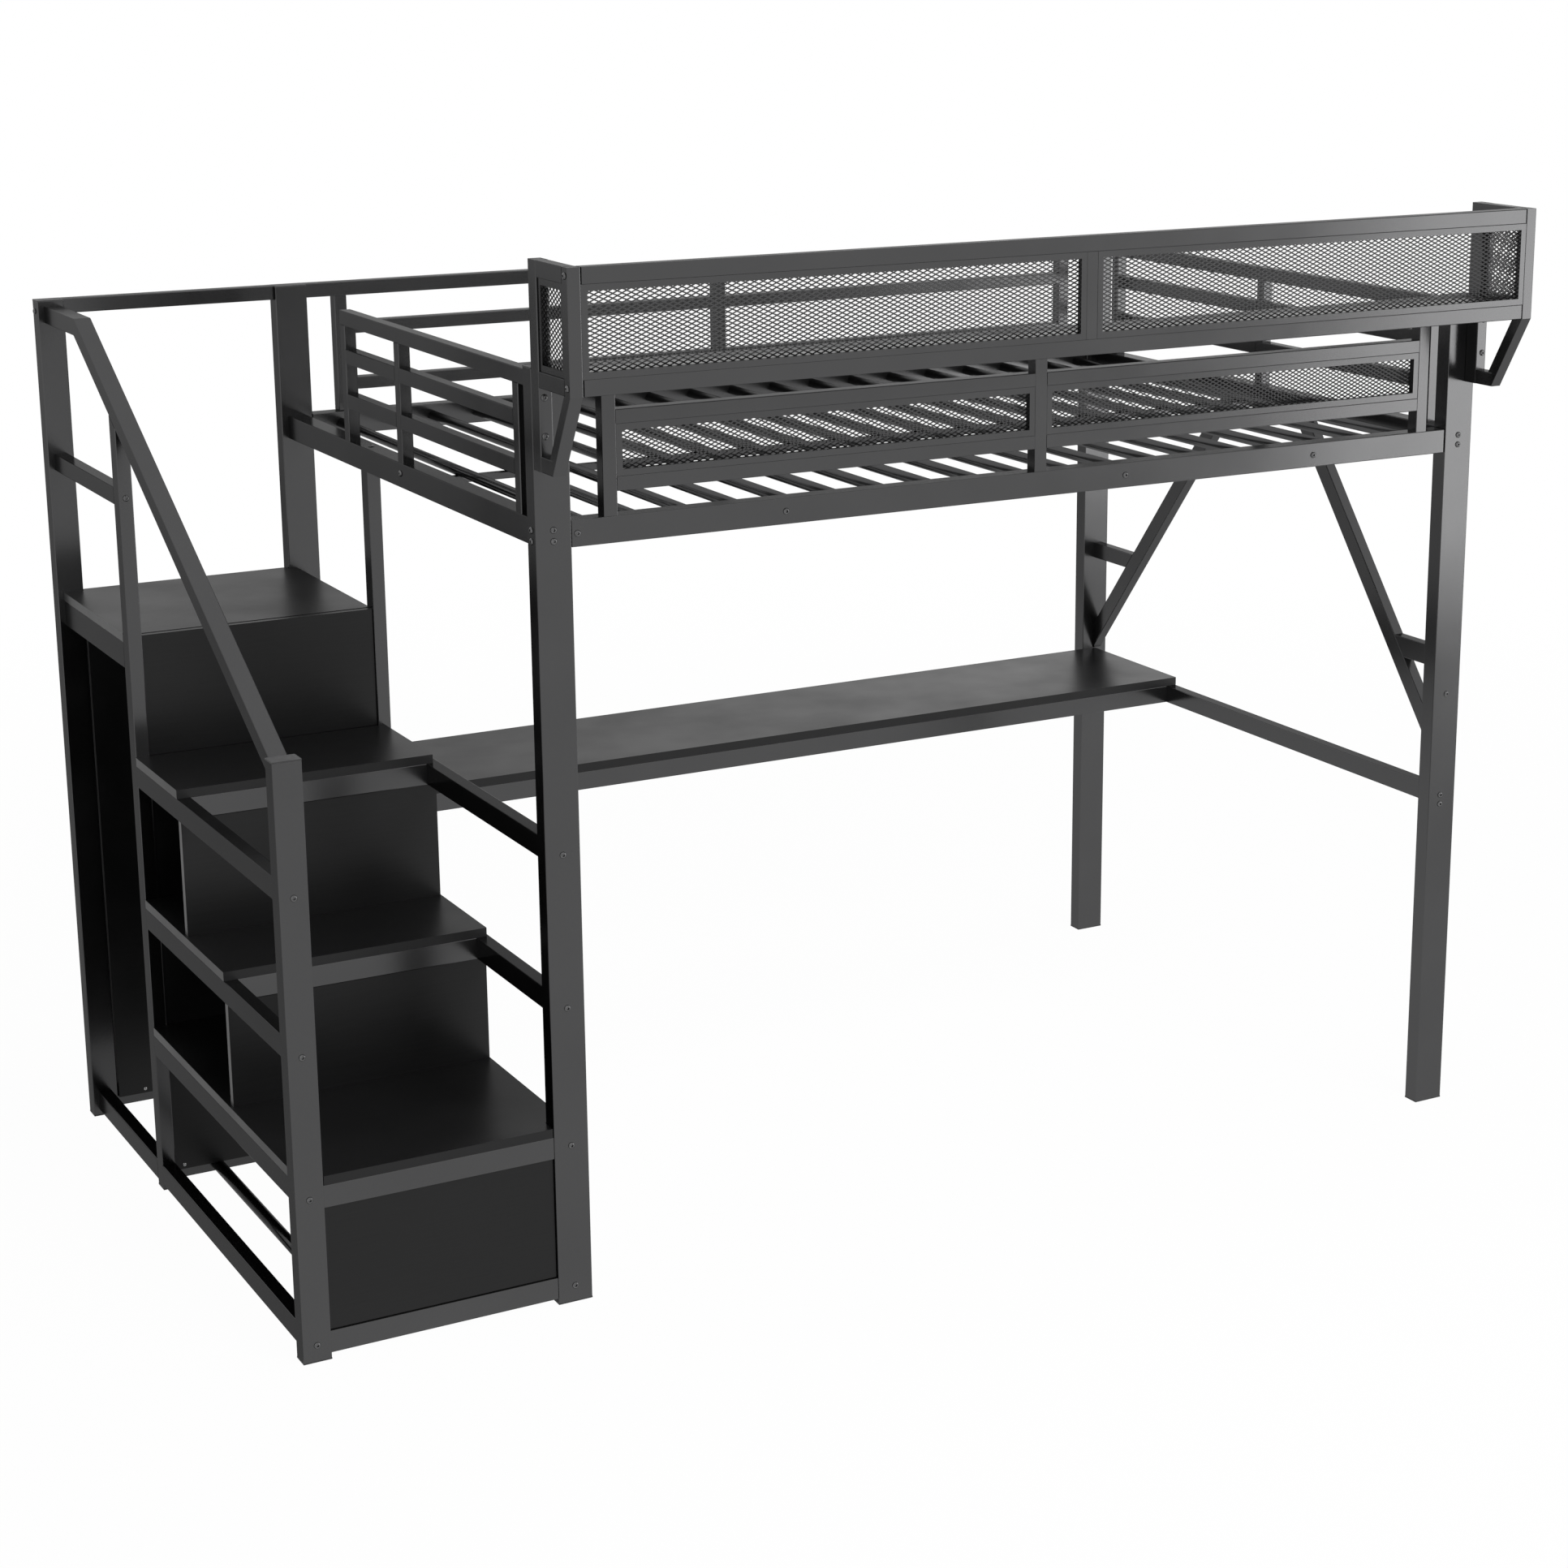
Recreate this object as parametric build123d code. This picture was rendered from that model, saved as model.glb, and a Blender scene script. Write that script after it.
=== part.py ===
from build123d import *
import math
import os

# Loft bed with a stair, a wardrobe bay under its landing, a desk and a mesh tray along the front.
# Millimetres. The plan is drawn from the outer front left corner of the bed at the floor,
# X along the bed, Y from front to back, Z up, and moved to its own centre when it is written.

# Bed frame
BED_LENGTH = 2155.0
BED_WIDTH = 1428.0
POST_HEIGHT = 1807.0
POST_W = 70.0
POST_D = 38.0
WALL = 1.5
CORNER_R = 1.6
CORNER_FACETS = 2
FOOT_T = 3.0
CAP_T = 3.0
CAP_LAP = 1.0
POST_OVER_RAIL = 282.0
RAIL_H = 50.0
END_RAIL_W = 40.0
END_RAIL_INSET = 15.0
PLATE_T = (1.0, 4.0)
PLATE_MARGIN = 6.0

# Slats of round tube between the side rails, and the beam under their middles
SLAT_D = 21.0
SLAT_PITCH = 106.5
SLAT_FIRST = 81.0
ROUND_SIDES = 12
BEAM_W = 15.0

# Guards of the long sides, heights over the rails
UPRIGHT_INSET = (135.0, 122.0)
UPRIGHT_OFF_MIDDLE = 6.5
UPRIGHT_W = 28.0
GUARD_D = 28.0
GUARD_RAIL_H = 27.0
GUARD_LOW_RISE = 45.0
GUARD_HIGH_RISE = 168.0
TOP_RAIL_H = 30.0

# Guards of the two ends, heights over the rails
END_GUARD_W = 25.0
END_BAR_H = 30.0
END_LOW_RISE = 69.5
END_MID_RISE = 162.0
END_TOP_RISE = 240.0
END_UPRIGHT_D = 26.0
END_UPRIGHT_Y = 99.0
END_MIDDLE_OFFSET = 1.0
ENTRY_WIDTH = 358.0

# Mesh panels, each a sheet with a plain rim round staggered diamonds
MESH_T = 2.0
MESH_RIM = 12.0
DIAMOND_W = 64.0
DIAMOND_H = 48.0
STRAND = 3.0

# Tray along the front
TRAY_DEPTH = 172.0
TRAY_HEIGHT = 225.0
TRAY_RISE = 250.0
TRAY_TUBE = 25.0
TRAY_RAIL_H = 30.0
TRAY_BACK_D = 35.0
BRACKET_DROP = 151.0
BRACKET_BAR_H = 29.0
BRACKET_REACH = 86.0
TRAY_OFF_MIDDLE = 4.0
TRAY_FRONT_GAP = 2.0
TRAY_SHEET = 2.0
TRAY_LIP_H = 9.0
TRAY_SEAT_H = 25.0

# Stair and wardrobe bay, to the left of the bed
STAIR_REACH = 510.0
STAIR_POST_W = 55.0
NEWEL_H = 1151.0
MID_POST_Y = 915.0
SIDE_RAIL_W = 28.0
STAIR_RAIL_H = 44.0
RIGHT_RAIL_X = 18.0
BOTTOM_Z = 11.5
BOARD_T = 18.0
TREAD_TOP = (361.5, 637.5, 938.0)
TREAD_FRONT = (2.0, 405.0, 643.0)
TREAD_RIGHT = (40.0, 40.0, 32.0)
LANDING_TOP = 1188.0
LANDING_RAIL_H = 54.0
LANDING_SETBACK = 22.0
LANDING_REVEAL = 1.0
PANEL_T = 16.0
PANEL_SETBACK = 4.0
MID_PANEL_SETBACK = 5.0
PANEL_PLAY = 1.5
SCREW_INSET = 20.0
RISER_SIDE_PLAY = 6.5
STRETCHER_X = -371.5
STRETCHER_D = 25.0
GUARD_BAR_DROP = 357.0
GUARD_BAR_H = 35.0

# Handrail
HANDRAIL_W = 35.0
HANDRAIL_DROP = 12.5
HANDRAIL_STUB = 215.0
HANDRAIL_FOOT_DROP = 58.0

# Desk
DESK_TOP_Z = 757.0
DESK_T = 19.0
DESK_DEPTH = 365.0
DESK_RAIL_W = 27.0
DESK_RAIL_H = 41.0
DESK_RIGHT_INSET = 33.0
DESK_LEFT_LAP = 14.0
DESK_REAR_SETBACK = 6.0

# Braces of the right end, heights over the desk
BRACE_W = 25.0
BRACE_DEPTH = 38.0
FRONT_BRACE_RISE = 41.0
FRONT_BRACE_REACH = 533.0
BACK_BRACE_RISE = 1.0
BACK_BRACE_REACH = 583.0
STRUT_RISE = 236.5
STRUT_H = (45.0, 38.0)

# Bolts and screws
HEAD_SIDES = 10
SHANK_SIDES = 8
BOLT_R = 4.0
BOLT_HEAD_R = 6.5
BOLT_HEAD_H = 3.0
BOLT_LENGTH = 14.0
BOLT_PLAY = 0.3
BOLT_PAIR = 20.6
SCREW_R = 2.0
SCREW_HEAD_R = 4.0
SCREW_HEAD_H = 1.6
SCREW_LENGTH = 12.0
SCREW_PLAY = 0.1
BRACE_BOLT_RISE = 185.0
RAIL_BOLT_X = (82.0, 508.0, 1271.5, 1737.0)
END_BOLT_RISE = 4.0
END_TOP_BOLT_Y = 932.0
TOP_RAIL_BOLT = (13.0, 24.0)
DESK_BOLT_INSET = 39.5
DESK_BOLT_RISE = 7.0
TRAY_BOLT_Y = 12.0
TRAY_BOLT_X = 10.0

# Places that follow from the sizes above
RIGHT_POST_X = BED_LENGTH - POST_W
BACK_POST_Y = BED_WIDTH - POST_D
RAIL_TOP = POST_HEIGHT - POST_OVER_RAIL
RAIL_Z = RAIL_TOP - RAIL_H
LEFT_RAIL = (END_RAIL_INSET, END_RAIL_INSET + END_RAIL_W)
RIGHT_RAIL = (BED_LENGTH - END_RAIL_INSET - END_RAIL_W, BED_LENGTH - END_RAIL_INSET)
STAIR_X = (-STAIR_REACH, STAIR_POST_W - STAIR_REACH)
LEFT_SIDE = (sum(STAIR_X) / 2 - SIDE_RAIL_W / 2, sum(STAIR_X) / 2 + SIDE_RAIL_W / 2)
RIGHT_SIDE = (RIGHT_RAIL_X, RIGHT_RAIL_X + SIDE_RAIL_W)
MID_POST = (MID_POST_Y, MID_POST_Y + POST_D)
PANEL_MID = (MID_POST_Y + MID_PANEL_SETBACK, MID_POST_Y + MID_PANEL_SETBACK + PANEL_T)
DESK_BOARD_Z = DESK_TOP_Z - DESK_T
DESK_RAIL_Z = DESK_BOARD_Z - DESK_RAIL_H
DESK_RIGHT = (BED_LENGTH - DESK_RIGHT_INSET - DESK_RAIL_W, BED_LENGTH - DESK_RIGHT_INSET)
BRACE_X = (BED_LENGTH - END_RAIL_INSET - BRACE_W, BED_LENGTH - END_RAIL_INSET)
TRAY_FRONT = (-TRAY_DEPTH, TRAY_TUBE - TRAY_DEPTH)
TRAY_LOW_Z = RAIL_TOP + TRAY_RISE
TRAY_TOP = TRAY_LOW_Z + TRAY_HEIGHT
TRAY_FLOOR_Z = TRAY_LOW_Z + TRAY_SEAT_H
BRACKET_Z = TRAY_LOW_Z - BRACKET_DROP
MIDDLE_X = BED_LENGTH / 2
UPRIGHT_X = (
    UPRIGHT_INSET[0],
    MIDDLE_X - UPRIGHT_OFF_MIDDLE - UPRIGHT_W / 2,
    BED_LENGTH - UPRIGHT_INSET[1] - UPRIGHT_W,
)
HANDRAIL_Z = POST_HEIGHT - HANDRAIL_DROP - HANDRAIL_W
HANDRAIL_BEND_Y = BACK_POST_Y - HANDRAIL_STUB
HANDRAIL_FOOT_Z = NEWEL_H - HANDRAIL_FOOT_DROP
DESK_FRONT_Y = BACK_POST_Y - DESK_DEPTH
CENTRE = ((BED_LENGTH - STAIR_REACH) / 2, (BED_WIDTH + BOLT_HEAD_H - TRAY_DEPTH) / 2)

nodes = {}


def box(x, y, z):
    """A plain block between three pairs of coordinates."""
    size = Box(x[1] - x[0], y[1] - y[0], z[1] - z[0])
    return Pos(sum(x) / 2, sum(y) / 2, sum(z) / 2) * size


def tube_section(a, b):
    """Rectangular tube wall, a wide and b high, its outer corners rounded in a few flat facets."""
    radius = min(CORNER_R, 0.3 * min(a, b))
    outline = []
    for quarter, (side, level) in enumerate(((1, 1), (-1, 1), (-1, -1), (1, -1))):
        for step in range(CORNER_FACETS + 1):
            turn = math.radians(90 * (quarter + step / CORNER_FACETS))
            x = side * (a / 2 - radius) + radius * math.cos(turn)
            y = level * (b / 2 - radius) + radius * math.sin(turn)
            outline.append((x, y))
    return make_face(Polyline(*outline, close=True)) - Rectangle(a - 2 * WALL, b - 2 * WALL)


def tube(x, y, z, along):
    """Hollow rectangular tube that fills the given box and runs along one axis."""
    if along == "x":
        plane = Plane((x[0], sum(y) / 2, sum(z) / 2), x_dir=(0, 1, 0), z_dir=(1, 0, 0))
        return extrude(plane * tube_section(y[1] - y[0], z[1] - z[0]), x[1] - x[0])
    if along == "y":
        plane = Plane((sum(x) / 2, y[0], sum(z) / 2), x_dir=(0, 0, 1), z_dir=(0, 1, 0))
        return extrude(plane * tube_section(z[1] - z[0], x[1] - x[0]), y[1] - y[0])
    plane = Plane((sum(x) / 2, sum(y) / 2, z[0]))
    return extrude(plane * tube_section(x[1] - x[0], y[1] - y[0]), z[1] - z[0])


def slanted_tube(start, end, x, depth, spare):
    """Tube through two (y, z) points of its lower edge, depth square to that, spare at both ends."""
    run = math.hypot(end[0] - start[0], end[1] - start[1])
    along = ((end[0] - start[0]) / run, (end[1] - start[1]) / run)
    up = (-along[1], along[0]) if along[0] > 0 else (along[1], -along[0])
    origin = (
        sum(x) / 2,
        start[0] - along[0] * spare + up[0] * depth / 2,
        start[1] - along[1] * spare + up[1] * depth / 2,
    )
    plane = Plane(origin, x_dir=(1, 0, 0), z_dir=(0, along[0], along[1]))
    return extrude(plane * tube_section(x[1] - x[0], depth), run + 2 * spare)


def round_tube(x, y, z, diameter):
    """Hollow round tube along Y about a centre line, its wall drawn in flat facets."""
    turn = 180 / ROUND_SIDES
    wall = RegularPolygon(diameter / 2, ROUND_SIDES, major_radius=False, rotation=turn)
    wall -= RegularPolygon(diameter / 2 - WALL, ROUND_SIDES, major_radius=False, rotation=turn)
    return extrude(Plane((x, y[0], z), x_dir=(1, 0, 0), z_dir=(0, 1, 0)) * wall, y[1] - y[0])


def add(name, *shapes):
    """Keeps the solids of a piece under its name."""
    nodes[name] = [solid for shape in shapes for solid in shape.solids()]


def drill(name, cutters):
    """Cuts holes in every solid of a piece that they reach."""
    for i, solid in enumerate(nodes[name]):
        for cutter in cutters:
            solid = solid - cutter
        nodes[name][i] = solid.solids()[0]


# Posts, with a plastic glide under each and a cap in the open top of each free one
posts = {
    "front_left_post": ((0, POST_W), (0, POST_D), POST_HEIGHT),
    "front_right_post": ((RIGHT_POST_X, BED_LENGTH), (0, POST_D), POST_HEIGHT),
    "back_left_post": ((0, POST_W), (BACK_POST_Y, BED_WIDTH), POST_HEIGHT),
    "back_right_post": ((RIGHT_POST_X, BED_LENGTH), (BACK_POST_Y, BED_WIDTH), POST_HEIGHT),
    "stair_newel_post": (STAIR_X, (0, POST_D), NEWEL_H),
    "stair_back_post": (STAIR_X, (BACK_POST_Y, BED_WIDTH), POST_HEIGHT),
    "landing_right_post": (RIGHT_SIDE, MID_POST, RAIL_Z),
}
glides = []
caps = []
for name, (x, y, top) in posts.items():
    capped = top != RAIL_Z
    add(name, tube(x, y, (FOOT_T, top - CAP_T if capped else top), "z"))
    glides.append(box(x, y, (0, FOOT_T)))
    if capped:
        caps.append(box(x, y, (top - CAP_T, top)))


# Handrail, mitred where the slope meets the level stub at the back post
def handrail_edge_z(y):
    """Height of the slope's lower edge over the plan."""
    slope = (HANDRAIL_Z - HANDRAIL_FOOT_Z) / (HANDRAIL_BEND_Y - POST_D)
    return HANDRAIL_FOOT_Z + slope * (y - POST_D)


handrail_x = (LEFT_SIDE[0], LEFT_SIDE[0] + HANDRAIL_W)
slope_angle = math.degrees(math.atan2(HANDRAIL_Z - HANDRAIL_FOOT_Z, HANDRAIL_BEND_Y - POST_D))
mitre = Plane(
    (sum(handrail_x) / 2, HANDRAIL_BEND_Y, HANDRAIL_Z),
    x_dir=(1, 0, 0),
    z_dir=(0, math.cos(math.radians(slope_angle / 2)), math.sin(math.radians(slope_angle / 2))),
)
slope = slanted_tube(
    (POST_D, HANDRAIL_FOOT_Z), (HANDRAIL_BEND_Y, HANDRAIL_Z), handrail_x, HANDRAIL_W, 3 * HANDRAIL_W
)
slope = split(slope, bisect_by=mitre, keep=Keep.BOTTOM)
slope = slope & box(handrail_x, (POST_D, BED_WIDTH), (0, POST_HEIGHT))
stub = tube(
    handrail_x,
    (HANDRAIL_BEND_Y - HANDRAIL_W, BACK_POST_Y),
    (HANDRAIL_Z, HANDRAIL_Z + HANDRAIL_W),
    "y",
)
stub = split(stub, bisect_by=mitre, keep=Keep.TOP)
add("handrail", slope, stub)

# Middle post of the stair's left side, its head cut to the slope of the handrail
head = (handrail_edge_z(MID_POST[0]), handrail_edge_z(MID_POST[1]))
mid_post = tube(LEFT_SIDE, MID_POST, (FOOT_T, head[1] + POST_D), "z")
under_slope = make_face(
    Polyline(
        (MID_POST[0], 0),
        (MID_POST[1], 0),
        (MID_POST[1], head[1]),
        (MID_POST[0], head[0]),
        close=True,
    )
)
add("landing_left_post", mid_post & extrude(Plane.YZ.offset(LEFT_SIDE[0]) * under_slope, SIDE_RAIL_W))
glides.append(box(LEFT_SIDE, MID_POST, (0, FOOT_T)))
add("foot_glides", *glides)
add("post_caps", *caps)

# Bottom rails, a hand's width of nothing under them
bottom_z = (BOTTOM_Z, BOTTOM_Z + STAIR_RAIL_H)
front_rail_y = (TREAD_FRONT[0], TREAD_FRONT[0] + SIDE_RAIL_W)
bay_x = (STAIR_X[1], 0)
mid_rail_y = (PANEL_MID[1], PANEL_MID[1] + SIDE_RAIL_W)
back_rail_y = (BED_WIDTH - SIDE_RAIL_W, BED_WIDTH)
between_sides = (LEFT_SIDE[1], RIGHT_SIDE[0])
add(
    "bottom_cross_rails",
    tube(bay_x, front_rail_y, bottom_z, "x"),
    tube(between_sides, mid_rail_y, bottom_z, "x"),
    tube(bay_x, back_rail_y, bottom_z, "x"),
)
add(
    "bottom_stretcher",
    round_tube(STRETCHER_X, (front_rail_y[1], mid_rail_y[0]), BOTTOM_Z + STRETCHER_D / 2, STRETCHER_D),
)

# Side rails of the stair, one pair under each tread and one at the floor
run_front = (POST_D, MID_POST[0])
run_back = (MID_POST[1], BACK_POST_Y)
tread_rail_z = [(top - BOARD_T - STAIR_RAIL_H, top - BOARD_T) for top in TREAD_TOP]
landing_rail_z = (LANDING_TOP - BOARD_T - LANDING_RAIL_H, LANDING_TOP - BOARD_T)
for side, x in (("left", LEFT_SIDE), ("right", RIGHT_SIDE)):
    levels = [bottom_z] + tread_rail_z
    add(f"stair_{side}_rails", *[tube(x, run_front, z, "y") for z in levels])
    add(f"landing_{side}_rails", *[tube(x, run_back, z, "y") for z in (bottom_z, landing_rail_z)])

# Cross rails under the front of each tread and of the landing
cross = [tube(bay_x, front_rail_y, tread_rail_z[0], "x")]
for front, z in zip(TREAD_FRONT[1:], tread_rail_z[1:]):
    cross.append(tube(between_sides, (front, front + SIDE_RAIL_W), z, "x"))
cross.append(tube(between_sides, mid_rail_y, landing_rail_z, "x"))
add("tread_cross_rails", *cross)

# Treads: the lowest runs between the two front posts, and all end at the landing's posts
lowest_z = (TREAD_TOP[0] - BOARD_T, TREAD_TOP[0])
nose = box((bay_x[0] + PANEL_PLAY, bay_x[1] - PANEL_PLAY), (TREAD_FRONT[0], POST_D), lowest_z)
add("lower_tread", box((LEFT_SIDE[0], TREAD_RIGHT[0]), run_front, lowest_z) + nose)
treads = zip(("middle_tread", "upper_tread"), TREAD_RIGHT[1:], TREAD_FRONT[1:], TREAD_TOP[1:])
for name, right, front, top in treads:
    add(name, box((LEFT_SIDE[0], right), (front, MID_POST[0]), (top - BOARD_T, top)))

# Landing, notched round its four posts
landing_z = (LANDING_TOP - BOARD_T, LANDING_TOP)
landing = box((LEFT_SIDE[0], RIGHT_SIDE[0]), (MID_POST[1], BACK_POST_Y), landing_z)
landing += box(between_sides, (PANEL_MID[1], MID_POST[1]), landing_z)
landing += box((bay_x[0] + PANEL_PLAY, -PANEL_PLAY), (BACK_POST_Y, BED_WIDTH - LANDING_SETBACK), landing_z)
add("landing_board", landing)

# Risers and panels
front_panel_y = (TREAD_FRONT[0] + PANEL_SETBACK, TREAD_FRONT[0] + PANEL_SETBACK + PANEL_T)
add(
    "front_riser",
    box((bay_x[0], -PANEL_PLAY), front_panel_y, (bottom_z[1] + PANEL_PLAY, tread_rail_z[0][0])),
)
riser_x = (LEFT_SIDE[0] + RISER_SIDE_PLAY, TREAD_RIGHT[0] - PANEL_PLAY)
risers = zip(("middle_riser", "upper_riser"), TREAD_FRONT[1:], TREAD_TOP[:-1], tread_rail_z[1:])
for name, front, foot, rail in risers:
    face = front + PANEL_SETBACK
    add(name, box(riser_x, (face, face + PANEL_T), (foot, rail[0])))
panel_foot = BOTTOM_Z + STRETCHER_D
add("landing_riser", box(between_sides, PANEL_MID, (panel_foot, LANDING_TOP - LANDING_REVEAL)))
back_panel_y = (back_rail_y[0] - PANEL_T, back_rail_y[0])
add(
    "wardrobe_back_panel",
    box((bay_x[0] + PANEL_PLAY, -PANEL_PLAY), back_panel_y, (panel_foot, landing_z[0])),
)

# Guard bar between the two left posts over the landing, and the top rail behind the landing
guard_bar_z = (POST_HEIGHT - GUARD_BAR_DROP, POST_HEIGHT - GUARD_BAR_DROP + GUARD_BAR_H)
add("landing_guard_bar", tube(LEFT_SIDE, run_back, guard_bar_z, "y"))
top_rail_z = (POST_HEIGHT - TOP_RAIL_H, POST_HEIGHT)
back_guard_y = (BED_WIDTH - GUARD_D, BED_WIDTH)
add("landing_top_rail", tube(bay_x, back_guard_y, top_rail_z, "x"))

# Bed rails, the long ones with a plate in each end
rail_z = (RAIL_Z, RAIL_TOP)
rail_mid = sum(rail_z) / 2
long_rail_x = (POST_W + PLATE_T[0], RIGHT_POST_X - PLATE_T[1])
plate_z = (RAIL_Z + PLATE_MARGIN, RAIL_TOP - PLATE_MARGIN)
for name, y in (("front_side_rail", (0, POST_D)), ("back_side_rail", (BACK_POST_Y, BED_WIDTH))):
    plate_y = (y[0] + PLATE_MARGIN, y[1] - PLATE_MARGIN)
    add(
        name,
        tube(long_rail_x, y, rail_z, "x"),
        box((POST_W, long_rail_x[0]), plate_y, plate_z),
        box((long_rail_x[1], RIGHT_POST_X), plate_y, plate_z),
    )
inside_y = (POST_D, BACK_POST_Y)
add("left_end_rail", tube(LEFT_RAIL, inside_y, rail_z, "y"))
add("right_end_rail", tube(RIGHT_RAIL, inside_y, rail_z, "y"))

# Slats at the middle height of the rails, and the beam from end to end that carries their middles
slat_room = RIGHT_RAIL[0] - LEFT_RAIL[1] - SLAT_FIRST - SLAT_D
slat_x = [LEFT_RAIL[1] + SLAT_FIRST + i * SLAT_PITCH for i in range(1 + int(slat_room // SLAT_PITCH))]
add("slats", *[round_tube(x, inside_y, rail_mid, SLAT_D) for x in slat_x])
beam_y = ((BED_WIDTH - BEAM_W) / 2, (BED_WIDTH + BEAM_W) / 2)
beam_top = rail_mid - SLAT_D / 2
add("middle_beam", tube((LEFT_RAIL[1], RIGHT_RAIL[0]), beam_y, (beam_top - BEAM_W, beam_top), "x"))

# Long guards: three uprights on the rail, two rails in each bay
low_z = (RAIL_TOP + GUARD_LOW_RISE, RAIL_TOP + GUARD_LOW_RISE + GUARD_RAIL_H)
high_z = (RAIL_TOP + GUARD_HIGH_RISE, RAIL_TOP + GUARD_HIGH_RISE + GUARD_RAIL_H)
bays = [(a + UPRIGHT_W, b) for a, b in zip(UPRIGHT_X[:-1], UPRIGHT_X[1:])]
front_guard_y = (0, GUARD_D)
for name, y, top in (
    ("front_guard", front_guard_y, TRAY_FLOOR_Z),
    ("back_guard", back_guard_y, top_rail_z[0]),
):
    uprights = [tube((x, x + UPRIGHT_W), y, (RAIL_TOP, top), "z") for x in UPRIGHT_X]
    rails = [tube(bay, y, z, "x") for bay in bays for z in (low_z, high_z)]
    add(name, *uprights, *rails)
add("back_top_rail", tube((POST_W, RIGHT_POST_X), back_guard_y, top_rail_z, "x"))

# End guards: the left one stops at the way in from the stair
low_bar = (RAIL_TOP + END_LOW_RISE, RAIL_TOP + END_LOW_RISE + END_BAR_H)
mid_bar = (RAIL_TOP + END_MID_RISE, RAIL_TOP + END_MID_RISE + END_BAR_H)
top_bar = (RAIL_TOP + END_TOP_RISE, RAIL_TOP + END_TOP_RISE + END_BAR_H)
end_middle = BED_WIDTH / 2 - END_UPRIGHT_D / 2 - END_MIDDLE_OFFSET
for name, x, reach in (
    ("left_end_guard", (LEFT_RAIL[0], LEFT_RAIL[0] + END_GUARD_W), BACK_POST_Y - ENTRY_WIDTH),
    ("right_end_guard", (RIGHT_RAIL[1] - END_GUARD_W, RIGHT_RAIL[1]), BACK_POST_Y),
):
    last = reach - END_UPRIGHT_D
    if reach == BACK_POST_Y:
        last = BED_WIDTH - END_UPRIGHT_Y - END_UPRIGHT_D
    stops = [(y, y + END_UPRIGHT_D) for y in (END_UPRIGHT_Y, end_middle, last)]
    shapes = [tube(x, stop, (RAIL_TOP, top_bar[0]), "z") for stop in stops]
    shapes.append(tube(x, (POST_D, reach), top_bar, "y"))
    for left, right in zip(stops[:-1], stops[1:]):
        shapes += [tube(x, (left[1], right[0]), z, "y") for z in (low_bar, mid_bar)]
    add(name, *shapes)


# Mesh panels
def mesh_panel(width, height):
    """Sheet with a rim round staggered rows of diamonds, lying in the XY plane about its centre."""
    room = (width - 2 * MESH_RIM, height - 2 * MESH_RIM)
    columns = max(2, round(room[0] / DIAMOND_W))
    rows = max(2, round(room[1] / DIAMOND_H))
    pitch = (room[0] / columns, room[1] / rows)
    half = (pitch[0] / 2 - STRAND, pitch[1] / 2 - STRAND)
    holes = []
    for step in (0, 1):
        for i in range(columns - step):
            for j in range(rows - step):
                x = (i + (1 + step) / 2 - columns / 2) * pitch[0]
                y = (j + (1 + step) / 2 - rows / 2) * pitch[1]
                corners = [(x - half[0], y), (x, y - half[1]), (x + half[0], y), (x, y + half[1])]
                holes.append(Wire.make_polygon([(*corner, 0) for corner in corners]))
    sheet = Face(Wire(Rectangle(width, height).wire().edges()), holes)
    return extrude(sheet, MESH_T)


def upright_mesh(x, y_back, z):
    """Mesh in a bay that faces the front, with its back at a depth."""
    plane = Plane((sum(x) / 2, y_back, sum(z) / 2), x_dir=(1, 0, 0), z_dir=(0, -1, 0))
    return plane * mesh_panel(x[1] - x[0], z[1] - z[0])


guard_mesh_y = (GUARD_D + MESH_T) / 2
guard_mesh_z = (low_z[1], high_z[0])
for name, bay in zip(("front_guard_mesh_left", "front_guard_mesh_right"), bays):
    add(name, upright_mesh(bay, guard_mesh_y, guard_mesh_z))

# Tray: a bracket frame on the front of each front post, with mesh in its side
tray_low = (TRAY_LOW_Z, TRAY_LOW_Z + TRAY_RAIL_H)
tray_high = (TRAY_TOP - TRAY_RAIL_H, TRAY_TOP)
tray_side_y = (TRAY_FRONT[1], -TRAY_BACK_D)
bracket_bar = (BRACKET_Z, BRACKET_Z + BRACKET_BAR_H)
for side, x in (("left", (0, TRAY_TUBE)), ("right", (BED_LENGTH - TRAY_TUBE, BED_LENGTH))):
    back = tube(x, (-TRAY_BACK_D, 0), (BRACKET_Z, TRAY_TOP), "z")
    front = tube(x, TRAY_FRONT, (TRAY_LOW_Z, TRAY_TOP), "z")
    foot = tube(x, (-BRACKET_REACH, -TRAY_BACK_D), bracket_bar, "y")
    diagonal = slanted_tube(
        (-BRACKET_REACH, BRACKET_Z), (-TRAY_DEPTH, TRAY_LOW_Z), x, TRAY_TUBE, TRAY_DEPTH
    )
    room = box(x, (-TRAY_DEPTH, -TRAY_BACK_D), (BRACKET_Z, TRAY_LOW_Z))
    diagonal = (diagonal & room) - box(x, (-BRACKET_REACH, -TRAY_BACK_D), bracket_bar)
    add(
        f"tray_{side}_frame",
        back,
        front,
        tube(x, tray_side_y, tray_low, "y"),
        tube(x, tray_side_y, tray_high, "y"),
        foot,
        diagonal,
    )
    plane = Plane(
        (sum(x) / 2 - MESH_T / 2, sum(tray_side_y) / 2, (tray_low[1] + tray_high[0]) / 2),
        x_dir=(0, 1, 0),
        z_dir=(1, 0, 0),
    )
    panel = mesh_panel(tray_side_y[1] - tray_side_y[0], tray_high[0] - tray_low[1])
    add(f"tray_{side}_mesh", plane * panel)

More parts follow.
